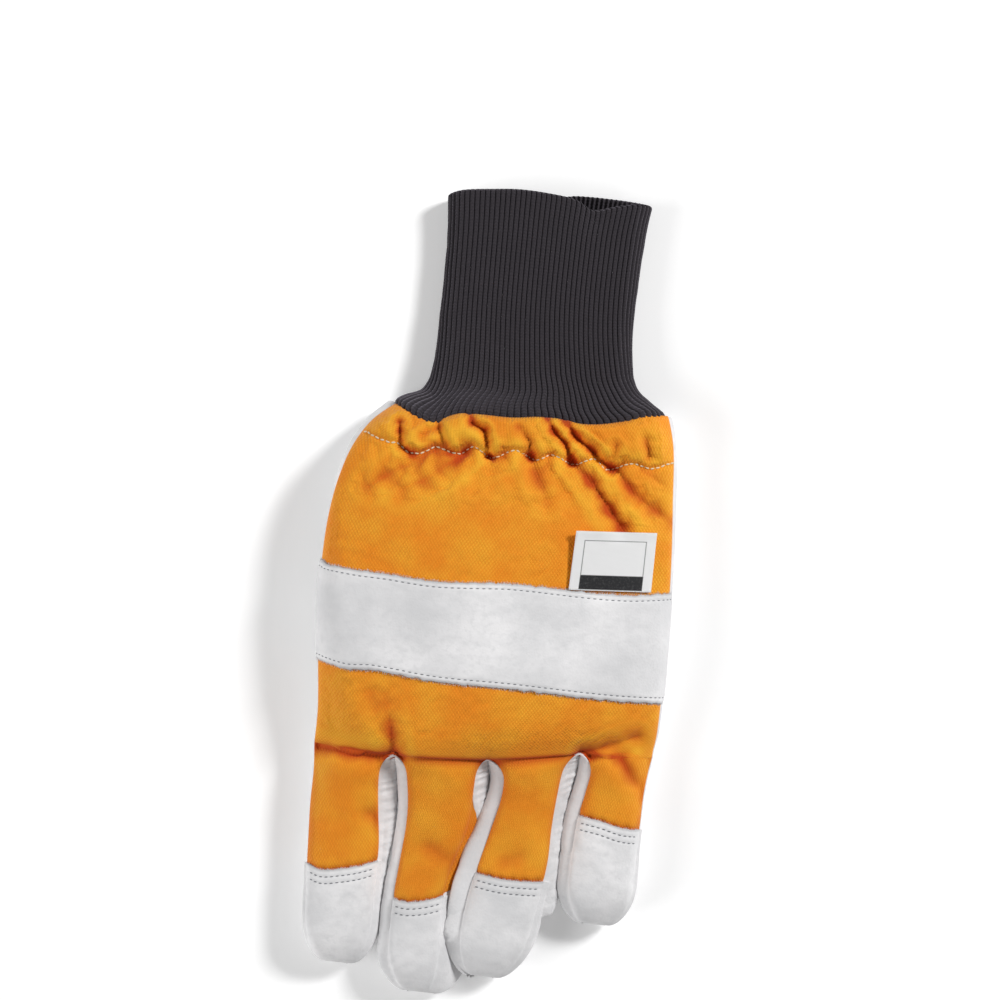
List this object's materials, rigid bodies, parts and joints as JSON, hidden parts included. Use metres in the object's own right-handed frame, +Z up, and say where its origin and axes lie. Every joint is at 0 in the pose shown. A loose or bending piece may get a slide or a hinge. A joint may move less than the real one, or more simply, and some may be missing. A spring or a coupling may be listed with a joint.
{
  "type": "chainsaw glove",
  "caption": "Left-hand chainsaw glove with padded textile back, leather palm, fingertip caps and knuckle band, and a rib-knit cuff, lying palm down with its thumb folded under.",
  "frame": {"origin": "middle of the glove's footprint on the surface it lies on", "axes": "+Z up out of the back of the hand, +Y from the fingertips to the cuff, +X to the little-finger side"},
  "size_m": [0.1354, 0.3042, 0.0388],
  "materials": {
    "textile": "woven, matte",
    "leather": "soft grain, matte",
    "knit": "rib knit, matte",
    "label": "smooth woven tape"
  },
  "bodies": {
    "root": {"cuff": "knit", "hand_back": "textile", "knuckle_band": "leather", "size_label": "label", "palm": "leather", "thumb": "leather", "finger_back_index": "textile", "fingertip_index": "leather", "gusset_index_middle": "leather", "finger_back_middle": "textile", "fingertip_middle": "leather", "gusset_middle_ring": "leather", "finger_back_ring": "textile", "fingertip_ring": "leather", "gusset_ring_little": "leather", "finger_back_little": "textile", "fingertip_little": "leather"}
  },
  "joints": []
}
